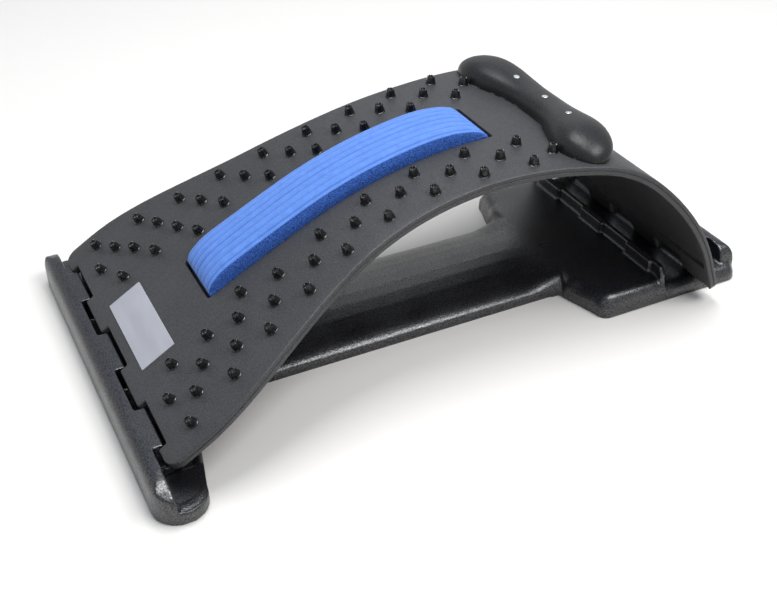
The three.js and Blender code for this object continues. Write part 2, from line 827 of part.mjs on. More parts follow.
const part = new THREE.Group();
part.position.x = -baseLength / 2;
part.add(meshOf("base_shell", makeBase(), baseBlack));
part.add(meshOf("arch_board", makeBoard(), boardGrey));
part.add(meshOf("foam_pad", makePad(), padBlue));

let hump = makeHump();
const magnetNames = ["magnet_far", "magnet_centre", "magnet_near"];
[magnetPitch, 0, -magnetPitch].map((y) => y - magnetPitch / 7).forEach((y, i) => {
  hump = hump.subtract(disc(y, magnetRadius + clearance, -magnetDepth - clearance, magnetDepth, 12));
  part.add(meshOf(magnetNames[i], disc(y, magnetRadius, -magnetDepth, clearance, 12), magnetSilver));
});
part.add(meshOf("hump", hump, humpBlack));

const labelLow = clearance;
part.add(meshOf("label_plate", bentBlock(labelStart, labelEnd, -labelHalfWidth, labelHalfWidth,
  labelLow, labelLow + labelThickness), labelSilver));

const sideNames = { "-1": "near", 1: "far" };
for (let row = 0; row < rowCount; row += 1) {
  for (const side of [-1, 1]) {
    const places = nubPlaces(row, side);
    let strip = runner(places);
    for (const place of places) {
      strip = strip.add(nub(place));
    }
    part.add(meshOf(`nub_strip_${sideNames[side]}_${row + 1}`, strip, nubBlack));
  }
}

export default part;
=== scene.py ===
import math

import bpy
import numpy as np
from mathutils import Matrix, Vector
from mathutils.bvhtree import BVHTree
from mathutils.geometry import delaunay_2d_cdt


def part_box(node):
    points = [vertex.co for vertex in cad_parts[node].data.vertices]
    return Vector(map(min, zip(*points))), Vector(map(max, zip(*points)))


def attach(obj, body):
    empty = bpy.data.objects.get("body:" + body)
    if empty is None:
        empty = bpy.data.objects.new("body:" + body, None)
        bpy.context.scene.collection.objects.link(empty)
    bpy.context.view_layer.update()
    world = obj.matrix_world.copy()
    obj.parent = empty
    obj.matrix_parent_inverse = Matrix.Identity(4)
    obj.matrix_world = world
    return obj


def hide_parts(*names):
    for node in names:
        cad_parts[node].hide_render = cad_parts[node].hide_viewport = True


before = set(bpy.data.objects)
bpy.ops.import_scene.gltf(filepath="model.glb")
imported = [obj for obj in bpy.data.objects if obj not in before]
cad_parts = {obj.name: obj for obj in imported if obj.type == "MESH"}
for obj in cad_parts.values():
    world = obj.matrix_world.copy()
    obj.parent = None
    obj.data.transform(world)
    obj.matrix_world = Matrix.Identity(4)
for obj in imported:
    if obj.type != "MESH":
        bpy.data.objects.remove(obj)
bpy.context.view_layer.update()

MM = 0.001
HALF_LENGTH = -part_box("base_shell")[0].x / MM

# Camera at the photograph's angle
AZIMUTH = -26.62
ELEVATION = 35.06
DISTANCE = 0.61695
AIM = Vector((-0.0311, -0.03636, 0.030))
LENS = 51.96
SENSOR = 36

# The board's curve and plan, in millimetres and degrees, as in the part's source
BOARD_START = (11.7, 20.1)
START_ANGLE = 32.1
RUNS = [(125, 6.3), (153.2, 34.8), (37, 32), (69, 28.1), (24, 0)]
BOARD_LENGTH = sum(run for run, _ in RUNS)
CURVE_MARGIN = 4
CURVE_STEP = 0.25
WAIST_STATION = 203
WAIST_HALF = 63
LEFT_HALF = 101.7
RIGHT_HALF = 88
LEFT_REACH = 0.9
LEFT_BIAS = 1.4
RIGHT_REACH = 0.88
CORNER = 8
SKIN = 3
RIM = 5
RIM_WIDTH = 3
RECESS_START = 13
RECESS_END = BOARD_LENGTH - 19.5
RECESS_POINTS = 130

# Stations where the board's long edges are sampled: close together at its ends
EDGE_BENDS = [0, 0.15, 0.5, 1.1, 2, 3.2, 4.8, 6.6]
EDGE_MIDDLE = 9
EDGE_STEP = 2.5

# Section of an edge from the top face down, as (inset, lift)
BOARD_EDGE = [(0.95, 0), (0.5, -0.08), (0.16, -0.36), (0, -0.8), (0, -1.9), (0.4, -2.15), (0.4, -2.5),
              (0, -2.75), (0, -4.5), (0.4, -RIM)]

# What the board's ends pass: the tabs of the left lip, the pilasters of the stop walls and the deck
TABS = [(-83.8, -52.8), (-16.8, 16.8), (52.8, 83.8)]
TAB_TIP = 15.4
TAB_GAP = 0.5
TAB_PLAY = 2
TAB_NOTCH_ROUND = 0.9
PILASTERS = [(-59.6, -36.6), (-11, 11), (36.6, 59.6)]
PILASTER_NOTCH = 14
PILASTER_PLAY = 1
PILASTER_NOTCH_ROUND = 1.2
NOTCH_MOUTH_ROUND = 1
DECK_GAP = 10.1

# The foot under the board's hooked end
FOOT_GAP = 2
FOOT_WIDTH = 4
FOOT_HALF = 88
FOOT_LOW = 6.3
FOOT_TOP = 20

# The pad's slot as (start, end, half width), and the tray below it
SLOT = (59, 239, 19.3)
SLOT_CORNER = 1.6
TRAY = 5.4
TRAY_WALL = 1.6
SLOT_EDGE = [(-0.6, 0), (-0.2, -0.15), (0, -0.6), (0, -TRAY)]
SLOT_STEP = 3

# Faces that bend get a grid of points, clear of their edges; insets of sharp corners are limited
FILL_GRID = (3.5, 6)
FILL_GAP = 1.4
FILL_BATCH = 200
MITRE_LIMIT = 1.2

# Base: the mesh is the solid's, remeshed and softened
BASE_VOXEL = 0.8
SOFTEN_FACTOR = 0.5
SOFTEN_ROUNDS = 4

# Platform of the base: its deck falls away in a round of this width and depth
DECK = 14
PLATFORM_INNER = (272.05, 43.7)
PLATFORM_CORNER = (279.05, 73.5)
ROUND_OVER = 13
ROUND_DROP = 4
ROUND_SHARE = 0.96
ROUND_FROM = 2
FRONT_BLEND = (3, 10)
SIDE_BLEND = 6
DECK_ABOVE = 2.4
DECK_FADE = 1.6

# Lobes of the base's cross bar: outside the board's foot their tops are level
LIP_FOOT = 10.8
LOBE_FROM = 89.5
LOBE_RISE_RUN = 1
LOBE_TOP = 7.4
LOBE_FLOOR = 4.9
LOBE_FACES_UP = 0.3

# Hump: HUMP_WAIST is (half length, height) at its waist, and HUMP_GAIN is what its ends have more
HUMP_STATION = 276.5
HUMP_SIDE = 3
HUMP_HALF = 71.5
HUMP_WAIST_HALF = 8
HUMP_BLEND_RUN = 50
HUMP_END_RUN = 38
HUMP_END_POWER = 2.2
HUMP_BEND = 9.5
HUMP_WAIST = (12.8, 11)
HUMP_GAIN = (3.8, 4.4)
HUMP_LEAN = 4.5
HUMP_FOOT = 0.05
HUMP_CREST_CUT = 0.3
HUMP_FULLNESS = 0.6
HUMP_ENDS_SHARE = 0.999
HUMP_EDGE_SHARE = 0.048
HUMP_ROWS = 110
HUMP_COLUMNS = 56

# Points round a turned form
TURN_STEPS = 40

# Magnets: place on the hump's skin, and profile as (radius, height) from the bottom up
MAGNET_ANGLE = 108
MAGNET_PITCH = 28
MAGNET_SIDE = -4
MAGNET_PROFILE = [(1.8, -1.2), (1.8, 0.18), (1.62, 0.34), (1.2, 0.38), (0.35, 0.36)]

# Label: (start, end, half width), and its section as (inset, lift) from the bottom up
LABEL = (10.9, 32.2, 31.5)
LABEL_CORNER = 0.7
LABEL_EDGE = [(0, 0.02), (0, 0.36), (0.15, 0.5)]
LABEL_STEP = 2

# Nub rows from the right end: the places of their columns, as shares of the board's half width
OUTER = [0.86, 0.85, 0.82, 0.81, 0.82, 0.83, 0.81, 0.83, 0.86, None]
MIDDLE = [0.7, 0.67, 0.66, 0.63, 0.64, 0.66, 0.66, 0.69, 0.72, None]
INNER = [None, 0.5, 0.49, 0.475, 0.48, 0.49, 0.5, 0.535, 0.6, 0.63]
EXTRA = [None, None, None, None, None, None, None, 0.38, 0.455, 0.435]
FIRST_ROW = 241.5
ROW_PITCH = 28.2
ROW_PITCH_FALL = 0.3
COLUMN_PITCH = 17.2
COLUMN_PITCH_FALL = 1.28
LAST_ROWS = [20.9, -2]
LAST_COLUMN_PITCH = 9.4

# One nub: profile as (radius, height) from the board up, with ribs and a crown of teeth
NUB_PROFILE = [(3.25, 0.0), (3.2, 0.22), (2.95, 0.34), (2.82, 0.45), (2.76, 1.0), (2.55, 2.1),
               (2.32, 3.2), (2.1, 4.1), (1.98, 4.45), (1.72, 4.62), (1.34, 4.5), (1.2, 4.05),
               (0.6, 3.95)]
NUB_RIBS = 8
NUB_RIBBED = range(4, 10)
NUB_RIB_SHARE = 0.05
NUB_TOOTHED = range(8, 11)
NUB_TOOTH = 0.3
NUB_TOOTH_FLOOR = -0.4
RUNNER_HALF = 2
RUNNER_LIFTS = (-5.3, -3.3)
RUNNER_POINTS = 9

# Foam pad
PAD_START = SLOT[0] + 1.8
PAD_END = SLOT[1] - 2.6
PAD_BOTTOM = 0.3 - TRAY
PAD_TOP = 8.1
PAD_RISE_RUN = 20
PAD_FALL_RUN = 45
PAD_FALL_POWER = 2.8
PAD_FALL_ROUND = 0.6
PAD_HALF_LOW = 19.0
PAD_HALF_HIGH = 17.6
PAD_SIDE_FROM = -0.3
PAD_SIDE_BULGE = 0.5
PAD_SIDE_POINTS = 12
PAD_CREST_POINTS = 97
PAD_SHOULDER = 0.5
PAD_SHOULDER_LEAST = 0.25
PAD_CROWN = 1.0
PAD_CREST_EDGE = 9
PAD_ENDS = [0, 0.12, 0.4, 0.9, 1.6, 2.5, 3.6]
PAD_END_RUN = 5
PAD_STEP = 1.6
RIDGES = 7
RIDGE_HEIGHT = 1.15
RIDGE_ROUND = 0.45
RIDGE_DROP = 0.8
RIDGE_FADE = 3
# How tightly the painted shade gathers at the bottom of each groove
GROOVE_SHADE_POWER = 3

# The pad's cloth: the plain form is a little smaller, and held below the board's face
SWELL_SHRINK = 0.35
SWELL_STEP = 4
SWELL_VOXEL = 2.2
SWELL_HELD_BELOW = -1.0
SWELL_PRESSURE = 4
SWELL_STIFFNESS = 40
SWELL_QUALITY = 5
SWELL_FRAMES = 20
SWELL_CAP = 1.0
SWELL_FREE_ABOVE = 0.6
SWELL_REACH = 3
SWELL_FOLLOW = 0.7
SWELL_LIMITS = (-0.6, 0.45)

# Stage
FLOOR_HALF = 6.0
FLOOR_COLOUR = (0.76, 0.735, 0.70, 1)
FLOOR_ROUGHNESS = 0.8
SKY = [(0.0, (1.0, 0.99, 0.97)), (0.35, (0.95, 0.96, 0.98)), (0.6, (0.62, 0.70, 0.80)),
       (1.0, (0.58, 0.67, 0.80))]
SKY_STRENGTH = 0.64

# Lights: name, place, aim, size and power
LIGHTS = [
    ("key", (-0.05, 0.18, 1.25), (0, 0, 0), (0.6, 0.6), 10),
    ("behind", (0.7, 1.2, 1.0), (0, 0, 0.05), (0.9, 0.7), 0.8),
    ("front", (0.46, -0.62, 1.20), (0.05, 0, 0.02), (0.8, 0.6), 13),
]

BLACK = (0, 0, 0)
WHITE = (1, 1, 1)


# The board's curve and plan
def curve_table():
    """Stations along the board's top face, with the x, z and heading of each."""
    stations = np.arange(-CURVE_MARGIN, BOARD_LENGTH + CURVE_MARGIN + 0.1, CURVE_STEP)
    rows = []
    for station in stations:
        x, z = BOARD_START
        heading = math.radians(START_ANGLE)
        left = station
        for index, (run, degrees) in enumerate(RUNS):
            low = -math.inf if index == 0 else 0
            high = math.inf if index == len(RUNS) - 1 else run
            part = min(max(left, low), high)
            turn = math.radians(degrees) * part / run
            half = turn / 2
            chord = part if half == 0 else part * math.sin(half) / half
            x += chord * math.cos(heading - half)
            z += chord * math.sin(heading - half)
            heading -= turn
            left -= part
        rows.append((x, z, heading))
    return stations, np.array(rows)


STATIONS, CURVE = curve_table()


def along(station):
    """The x, z and heading of the board's top face at a station."""
    return [np.interp(station, STATIONS, CURVE[:, i]) for i in range(3)]


def bend(station, y, lift):
    """Points in the board's flat space as points of the shared frame, in metres."""
    station, y, lift = np.broadcast_arrays(*[np.asarray(v, float) for v in (station, y, lift)])
    x, z, heading = along(station)
    out = np.stack([x - lift * np.sin(heading) - HALF_LENGTH, y, z + lift * np.cos(heading)], -1)
    return out * MM


def smooth(share):
    t = np.clip(share, 0, 1)
    return t * t * (3 - 2 * t)


def half_width(station):
    """Half the board's width at a station, without its rounded corners."""
    station = np.asarray(station, float)
    left = np.clip((WAIST_STATION - station) / WAIST_STATION / LEFT_REACH, 0, None)
    right = (station - WAIST_STATION) / (BOARD_LENGTH - WAIST_STATION) / RIGHT_REACH
    a = WAIST_HALF + (LEFT_HALF - WAIST_HALF) * smooth(left ** LEFT_BIAS)
    b = WAIST_HALF + (RIGHT_HALF - WAIST_HALF) * smooth(right)
    return np.where(station < WAIST_STATION, a, b)


def draw_in(distance):
    """How far a rounded corner draws the edge in at a distance from the board's end."""
    reach = np.clip(CORNER - distance, 0, CORNER)
    return CORNER - np.sqrt(CORNER * CORNER - reach * reach)


def edge_width(station):
    station = np.asarray(station, float)
    return half_width(station) - draw_in(station) - draw_in(BOARD_LENGTH - station)


# Materials
def new_material(name):
    mat = bpy.data.materials.new(name)
    mat.use_nodes = True
    tree = mat.node_tree
    return mat, tree, tree.nodes["Principled BSDF"]


def add_noise(tree, scale, detail=4, rough=0.6, stretch=(1, 1, 1)):
    coord = tree.nodes.new("ShaderNodeTexCoord")
    mapping = tree.nodes.new("ShaderNodeMapping")
    mapping.inputs["Scale"].default_value = stretch
    noise = tree.nodes.new("ShaderNodeTexNoise")
    noise.inputs["Scale"].default_value = scale
    noise.inputs["Detail"].default_value = detail
    noise.inputs["Roughness"].default_value = rough
    tree.links.new(coord.outputs["Object"], mapping.inputs["Vector"])
    tree.links.new(mapping.outputs["Vector"], noise.inputs["Vector"])
    return noise.outputs["Fac"]


def add_ramp(tree, fac, stops):
    """A colour ramp with a stop for each (place, colour)."""
    ramp = tree.nodes.new("ShaderNodeValToRGB")
    while len(ramp.color_ramp.elements) < len(stops):
        ramp.color_ramp.elements.new(0.5)
    for element, (place, colour) in zip(ramp.color_ramp.elements, stops):
        element.position = place
        element.color = (*colour, 1)
    tree.links.new(fac, ramp.inputs["Fac"])
    return ramp.outputs["Color"]


def add_bump(tree, fac, strength, distance, below=None):
    bump = tree.nodes.new("ShaderNodeBump")
    bump.inputs["Strength"].default_value = strength
    bump.inputs["Distance"].default_value = distance
    tree.links.new(fac, bump.inputs["Height"])
    if below is not None:
        tree.links.new(below, bump.inputs["Normal"])
    return bump.outputs["Normal"]


def add_attribute(tree, name):
    node = tree.nodes.new("ShaderNodeAttribute")
    node.attribute_name = name
    return node.outputs["Fac"]


def grey(value, tint=1.0):
    """A grey whose blue is multiplied by the tint."""
    return (value, value, value * tint)


def multiply(tree, a, b):
    mix = tree.nodes.new("ShaderNodeMix")
    mix.data_type = "RGBA"
    mix.blend_type = "MULTIPLY"
    mix.inputs["Factor"].default_value = 1
    tree.links.new(a, mix.inputs["A"])
    tree.links.new(b, mix.inputs["B"])
    return mix.outputs["Result"]


def plastic(name, dark, light, rough, grain, depth, specular=0.5, tint=1.06, speckle=0.3,
            sparkle=0.4):
    """Moulded plastic: a spark-eroded grain in the bump, and faintly uneven colour and gloss."""
    mat, tree, bsdf = new_material(name)
    patches = add_noise(tree, 28, detail=5)
    wide = add_ramp(tree, patches, [(0.3, grey(dark, tint)), (0.75, grey(light, tint))])
    fine = add_noise(tree, grain, detail=2, rough=0.5)
    dots = add_ramp(tree, fine, [(0.35, grey(1 - speckle)), (0.65, grey(1))])
    tree.links.new(multiply(tree, wide, dots), bsdf.inputs["Base Color"])
    gloss = add_ramp(tree, add_noise(tree, 60, detail=3),
                     [(0.3, grey(rough[0])), (0.7, grey(rough[1]))])
    tree.links.new(gloss, bsdf.inputs["Roughness"])
    shine = add_ramp(tree, add_noise(tree, grain * 1.3, detail=2, rough=0.5),
                     [(0.35, grey(specular * (1 - sparkle))), (0.65, grey(specular * (1 + sparkle)))])
    tree.links.new(shine, bsdf.inputs["Specular IOR Level"])
    grained = add_bump(tree, fine, 1.0, depth)
    waves = add_noise(tree, 90, detail=2, rough=0.5)
    tree.links.new(add_bump(tree, waves, 0.25, 0.0003, grained), bsdf.inputs["Normal"])
    return mat, tree, bsdf


def hump_plastic():
    """Black plastic with a pale, broken line of glue where the hump meets the board."""
    mat, tree, bsdf = plastic("hump black", dark=0.010, light=0.014, rough=(0.34, 0.42), grain=1300,
                              depth=0.00005, specular=0.4, tint=1.08)
    low = add_ramp(tree, add_attribute(tree, "lift"), [(0.35, WHITE), (0.75, BLACK)])
    broken = add_ramp(tree, add_noise(tree, 140, detail=3), [(0.5, BLACK), (0.62, WHITE)])
    mix = tree.nodes.new("ShaderNodeMix")
    mix.data_type = "RGBA"
    mix.inputs["B"].default_value = (0.16, 0.16, 0.17, 1)
    plain = bsdf.inputs["Base Color"].links[0].from_socket
    tree.links.new(multiply(tree, low, broken), mix.inputs["Factor"])
    tree.links.new(plain, mix.inputs["A"])
    tree.links.new(mix.outputs["Result"], bsdf.inputs["Base Color"])
    return mat


def pad_top_foam():
    """The pad's ribbed skin, with shade painted into its grooves: darker at their bottoms."""
    mat, tree, bsdf = new_material("pad top blue")
    colour = add_ramp(tree, add_noise(tree, 260),
                      [(0.3, (0.066, 0.180, 0.545)), (0.7, (0.088, 0.225, 0.645))])
    # Painted shade: the foam's colour is darkened where the groove shade mask is high
    shade = add_ramp(tree, add_attribute(tree, "groove_shade"), [(0.0, WHITE), (1.0, (0.66, 0.74, 0.86))])
    tree.links.new(multiply(tree, colour, shade), bsdf.inputs["Base Color"])
    bsdf.inputs["Roughness"].default_value = 0.72
    bsdf.inputs["Sheen Weight"].default_value = 0.15
    fine = add_noise(tree, 1500, detail=2)
    tree.links.new(add_bump(tree, fine, 0.6, 0.00006), bsdf.inputs["Normal"])
    return mat


def pad_side_foam():
    """The open cells of the pad's cut side."""
    mat, tree, bsdf = new_material("pad side foam")
    cells = tree.nodes.new("ShaderNodeTexVoronoi")
    cells.inputs["Scale"].default_value = 1800
    coord = tree.nodes.new("ShaderNodeTexCoord")
    tree.links.new(coord.outputs["Object"], cells.inputs["Vector"])
    depth = cells.outputs["Distance"]
    colour = add_ramp(tree, depth, [(0.2, (0.002, 0.011, 0.07)), (0.66, (0.030, 0.115, 0.46))])
    tree.links.new(colour, bsdf.inputs["Base Color"])
    bsdf.inputs["Roughness"].default_value = 0.95
    tree.links.new(add_bump(tree, depth, 0.8, 0.0003), bsdf.inputs["Normal"])
    return mat


def satin(name, pattern, stops, metallic, rough, grain, strength, depth):
    """A satin face: a coloured pattern with a fine grain over it."""
    mat, tree, bsdf = new_material(name)
    colour = add_ramp(tree, add_noise(tree, **pattern), stops)
    tree.links.new(colour, bsdf.inputs["Base Color"])
    bsdf.inputs["Metallic"].default_value = metallic
    bsdf.inputs["Roughness"].default_value = rough
    fine = add_noise(tree, grain, detail=2)
    tree.links.new(add_bump(tree, fine, strength, depth), bsdf.inputs["Normal"])
    return mat


def make_materials():
    return {
        "base": plastic("base black", dark=0.004, light=0.008, rough=(0.27, 0.35), grain=1150,
                        depth=0.00013, specular=1.0, tint=1.6, speckle=0.35, sparkle=0.6)[0],
        "board": plastic("board grey", dark=0.040, light=0.051, rough=(0.44, 0.54), grain=1250,
                         depth=0.00008, speckle=0.35)[0],
        "hump": hump_plastic(),
        "nub": plastic("nub black", dark=0.004, light=0.007, rough=(0.16, 0.26), grain=700,
                       depth=0.00001, specular=0.6)[0],
        "pad_top": pad_top_foam(),
        "pad_side": pad_side_foam(),
        "label": satin("label silver", dict(scale=120, detail=3, rough=0.5, stretch=(1, 0.2, 1)),
                       [(0.25, (0.335, 0.34, 0.375)), (0.75, (0.41, 0.415, 0.45))],
                       metallic=0.15, rough=0.42, grain=1800, strength=0.3, depth=0.00003),
        "magnet": satin("magnet silver", dict(scale=900, detail=3),
                        [(0.3, grey(0.55)), (0.7, grey(0.80))],
                        metallic=0.85, rough=0.4, grain=1400, strength=0.5, depth=0.00005),
    }


MATS = make_materials()


# Mesh building
class Flat:
    """A mesh drawn in the board's flat space, in millimetres, and bent when it is done.

    Its points are (station, y, lift): along the board's top face, across it and above it.
    """

    def __init__(self):
        self.verts = []
        self.faces = []

    def ring(self, loop, lift):
        start = len(self.verts)
        self.verts += [(s, y, lift) for s, y in loop]
        return list(range(start, len(self.verts)))

    def bridge(self, a, b):
        n = len(a)
        for i in range(n):
            j = (i + 1) % n
            self.faces.append((a[i], a[j], b[j], b[i]))

    def fill(self, outer, holes, lift, up):
        """A face between rings, with points inside it so that it can bend."""
        rings = [outer] + holes
        ids = [i for ring in rings for i in ring]
        points = [self.verts[i][:2] for i in ids]
        edges = []
        loops = []
        start = 0
        for ring in rings:
            n = len(ring)
            edges += [(start + i, start + (i + 1) % n) for i in range(n)]
            loops.append(np.array(points[start:start + n]))
            start += n
        inner = grid_inside(loops, np.array(points))
        ids += range(len(self.verts), len(self.verts) + len(inner))
        self.verts += [(a, b, lift) for a, b in inner]
        coords = [Vector(p) for p in points] + [Vector(p) for p in inner.tolist()]
        out, _, tris, origin, _, _ = delaunay_2d_cdt(coords, edges, [], 0, 1e-5)
        centres = np.array([[sum(out[i][k] for i in t) / 3 for k in (0, 1)] for t in tris])
        for tri, ok in zip(tris, inside(centres, loops)):
            if ok and all(origin[i] for i in tri):
                a, b, c = [ids[origin[i][0]] for i in tri]
                self.faces.append((a, b, c) if up else (c, b, a))

    def bent(self):
        v = np.array(self.verts)
        return bend(v[:, 0], v[:, 1], v[:, 2])


def grid_inside(loops, edge_points):
    """Points of a grid that lie between the loops and clear of them."""
    low, high = loops[0].min(0), loops[0].max(0)
    s, y = [np.arange(low[k] + FILL_GRID[k], high[k], FILL_GRID[k]) for k in (0, 1)]
    inner = np.stack(np.meshgrid(s, y, indexing="ij"), -1).reshape(-1, 2)
    inner = inner[inside(inner, loops)]
    gap = np.full(len(inner), np.inf)
    for k in range(0, len(edge_points), FILL_BATCH):
        d = np.abs(inner[:, None] - edge_points[None, k:k + FILL_BATCH])
        gap = np.minimum(gap, np.hypot(d[..., 0], d[..., 1]).min(1))
    return inner[gap > FILL_GAP]


def inside(points, loops):
    """Whether each point lies in the first loop and in none of the others."""
    x, y = points[:, 0], points[:, 1]
    result = None
    for loop in loops:
        hit = np.zeros(len(points), bool)
        for (ax, ay), (bx, by) in zip(loop, np.roll(loop, -1, 0)):
            if ay != by:
                hit ^= ((ay > y) != (by > y)) & (x < (bx - ax) * (y - ay) / (by - ay) + ax)
        result = hit if result is None else result & ~hit
    return result


def linked_object(name, mesh):
    obj = bpy.data.objects.new(name, mesh)
    bpy.context.scene.collection.objects.link(obj)
    return obj


def make_object(name, verts, faces, materials, body, sharp, index=None):
    """An object of the part. Edges over the angle sharp, in degrees, are shaded as edges."""
    mesh = bpy.data.meshes.new(name)
    mesh.from_pydata([tuple(v) for v in verts], [], faces)
    for mat in materials:
        mesh.materials.append(mat)
    if index is not None:
        mesh.polygons.foreach_set("material_index", index)
    mesh.validate()
    mesh.shade_smooth()
    mesh.set_sharp_from_angle(angle=math.radians(sharp))
    obj = linked_object(name, mesh)
    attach(obj, body)
    return obj


def set_point_values(obj, name, values):
    data = obj.data.attributes.new(name, "FLOAT", "POINT")
    data.data.foreach_set("value", np.asarray(values, np.float32))


def apply_modifiers(obj):
    bpy.context.view_layer.update()
    graph = bpy.context.evaluated_depsgraph_get()
    done = bpy.data.meshes.new_from_object(obj.evaluated_get(graph), depsgraph=graph)
    obj.modifiers.clear()
    obj.data = done


def voxel_remesh(obj, size):
    remesh = obj.modifiers.new("remesh", "REMESH")
    remesh.mode = "VOXEL"
    remesh.voxel_size = size * MM


def rounded(corners):
    """A closed loop whose corners are rounded by the radius that each one names."""
    out = []
    n = len(corners)
    for i, (x, y, r) in enumerate(corners):
        if r == 0:
            out.append((x, y))
            continue
        p = Vector((x, y))
        a = (Vector(corners[i - 1][:2]) - p).normalized() * r
        b = (Vector(corners[(i + 1) % n][:2]) - p).normalized() * r
        for t in (0, 0.25, 0.5, 0.75, 1):
            q = p + a * (1 - t) ** 2 + b * t * t
            out.append((q.x, q.y))
    return out


def rectangle(start, end, half, corner):
    plan = ((start, -half), (end, -half), (end, half), (start, half))
    return rounded([(x, y, corner) for x, y in plan])


def split_sides(loop, step):
    """The loop with points added along its long sides, so that they can bend."""
    out = []
    for (ax, ay), (bx, by) in zip(loop, loop[1:] + loop[:1]):
        count = max(int(abs(bx - ax) / step), 1)
        out += [(ax + (bx - ax) * i / count, ay + (by - ay) * i / count) for i in range(count)]
    return out


def inset(loop, distance):
    """The loop moved inward; it runs counterclockwise."""
    p = np.array(loop)
    ahead = np.roll(p, -1, 0) - p
    ahead /= np.linalg.norm(ahead, axis=1)[:, None]
    normal = np.stack([-ahead[:, 1], ahead[:, 0]], 1)
    total = normal + np.roll(normal, 1, 0)
    scale = 2 / np.clip((total ** 2).sum(1), MITRE_LIMIT, None)
    return [tuple(q) for q in p + total * scale[:, None] * distance]


def box_faces(verts, faces, corners):
    """Adds a box whose 8 corners are given, the lower 4 first."""
    k = len(verts)
    verts += corners
    for f in ((3, 2, 1, 0), (4, 5, 6, 7), (0, 1, 5, 4), (1, 2, 6, 5), (2, 3, 7, 6), (3, 0, 4, 7)):
        faces.append(tuple(k + i for i in f))


def turned_faces(rings):
    """Faces of a turned form, with a lid on its first and last rings."""
    faces = []
    for k in range(rings - 1):
        a, b = k * TURN_STEPS, (k + 1) * TURN_STEPS
        for i in range(TURN_STEPS):
            j = (i + 1) % TURN_STEPS
            faces.append((a + i, a + j, b + j, b + i))
    top = (rings - 1) * TURN_STEPS
    faces.append(tuple(range(top, top + TURN_STEPS)))
    faces.append(tuple(reversed(range(TURN_STEPS))))
    return faces


# Board
def side_stations():
    middle = np.arange(EDGE_MIDDLE, BOARD_LENGTH - EDGE_MIDDLE + 0.5, EDGE_STEP)
    return EDGE_BENDS + list(middle) + [BOARD_LENGTH - b for b in reversed(EDGE_BENDS)]


def board_loop():
    """The board's outline, with its notches for the pilasters and for the tabs."""
    stations = side_stations()
    near = [(s, -float(edge_width(s)), 0) for s in stations]
    far = [(s, float(edge_width(s)), 0) for s in reversed(stations)]
    deep = BOARD_LENGTH - PILASTER_NOTCH
    right = []
    for y0, y1 in PILASTERS:
        low, high = y0 - PILASTER_PLAY, y1 + PILASTER_PLAY
        right += [(BOARD_LENGTH, low, NOTCH_MOUTH_ROUND), (deep, low, PILASTER_NOTCH_ROUND),
                  (deep, high, PILASTER_NOTCH_ROUND), (BOARD_LENGTH, high, NOTCH_MOUTH_ROUND)]
    notch = (TAB_TIP + TAB_GAP - BOARD_START[0]) / math.cos(math.radians(START_ANGLE))
    left = []
    for y0, y1 in reversed(TABS):
        low, high = y0 - TAB_PLAY, y1 + TAB_PLAY
        left += [(0, high, NOTCH_MOUTH_ROUND), (notch, high, TAB_NOTCH_ROUND),
                 (notch, low, TAB_NOTCH_ROUND), (0, low, NOTCH_MOUTH_ROUND)]
    return rounded(near + right + far + left)


def recess_loop():
    """The hollow in the board's underside, inside its rim."""
    stations = list(np.linspace(RECESS_START, RECESS_END, RECESS_POINTS))
    near = [(s, RIM_WIDTH - float(half_width(s))) for s in stations]
    return near + [(s, float(half_width(s)) - RIM_WIDTH) for s in reversed(stations)]


def tray_loop():
    """The outside of the tray below the slot."""
    start, end, half = SLOT[0] - TRAY_WALL, SLOT[1] + TRAY_WALL, SLOT[2] + TRAY_WALL
    near = [(s, -half) for s in np.arange(start, end, SLOT_STEP)]
    far = [(s, half) for s in np.arange(end - SLOT_STEP, start, -SLOT_STEP)]
    return near + [(end, -half), (end, half)] + far + [(start, half)]


def make_board():
    flat = Flat()
    outline = board_loop()
    edge = [flat.ring(inset(outline, d), lift) for d, lift in BOARD_EDGE]
    for a, b in zip(edge, edge[1:]):
        flat.bridge(b, a)
    slot_loop = split_sides(rectangle(*SLOT, SLOT_CORNER), SLOT_STEP)
    slot = [flat.ring(inset(slot_loop, d), lift) for d, lift in SLOT_EDGE]
    for a, b in zip(slot, slot[1:]):
        flat.bridge(a, b)
    flat.fill(edge[0], [slot[0]], 0, True)
    flat.fill(slot[-1], [], -TRAY, True)

    recess_low = flat.ring(recess_loop(), -RIM)
    recess_high = flat.ring(recess_loop(), -SKIN)
    flat.bridge(recess_high, recess_low)
    flat.fill(edge[-1], [recess_low], -RIM, False)
    tray_high = flat.ring(tray_loop(), -SKIN)
    tray_low = flat.ring(tray_loop(), -TRAY - TRAY_WALL)
    flat.bridge(tray_low, tray_high)
    flat.fill(recess_high, [tray_high], -SKIN, False)
    flat.fill(tray_low, [], -TRAY - TRAY_WALL, False)

    verts = flat.bent()
    at_end = np.array(flat.verts)[:, 0] > BOARD_LENGTH - PILASTER_NOTCH
    verts[at_end & (verts[:, 2] < DECK_GAP * MM), 2] = DECK_GAP * MM
    verts = [tuple(v) for v in verts]
    x0 = (TAB_TIP + FOOT_GAP - HALF_LENGTH) * MM
    x1 = x0 + FOOT_WIDTH * MM
    plan = ((x0, -FOOT_HALF), (x1, -FOOT_HALF), (x1, FOOT_HALF), (x0, FOOT_HALF))
    box_faces(verts, flat.faces, [(x, y * MM, z * MM) for z in (FOOT_LOW, FOOT_TOP) for x, y in plan])
    obj = make_object("board", verts, flat.faces, [MATS["board"]], "board", 35)
    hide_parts("arch_board")


# Base
def read_vectors(mesh, name):
    values = np.empty(len(mesh.vertices) * 3)
    mesh.vertices.foreach_get(name, values)
    return values.reshape(-1, 3)


def place_vertices(mesh, points):
    mesh.vertices.foreach_set("co", (points * MM).ravel())
    mesh.update()


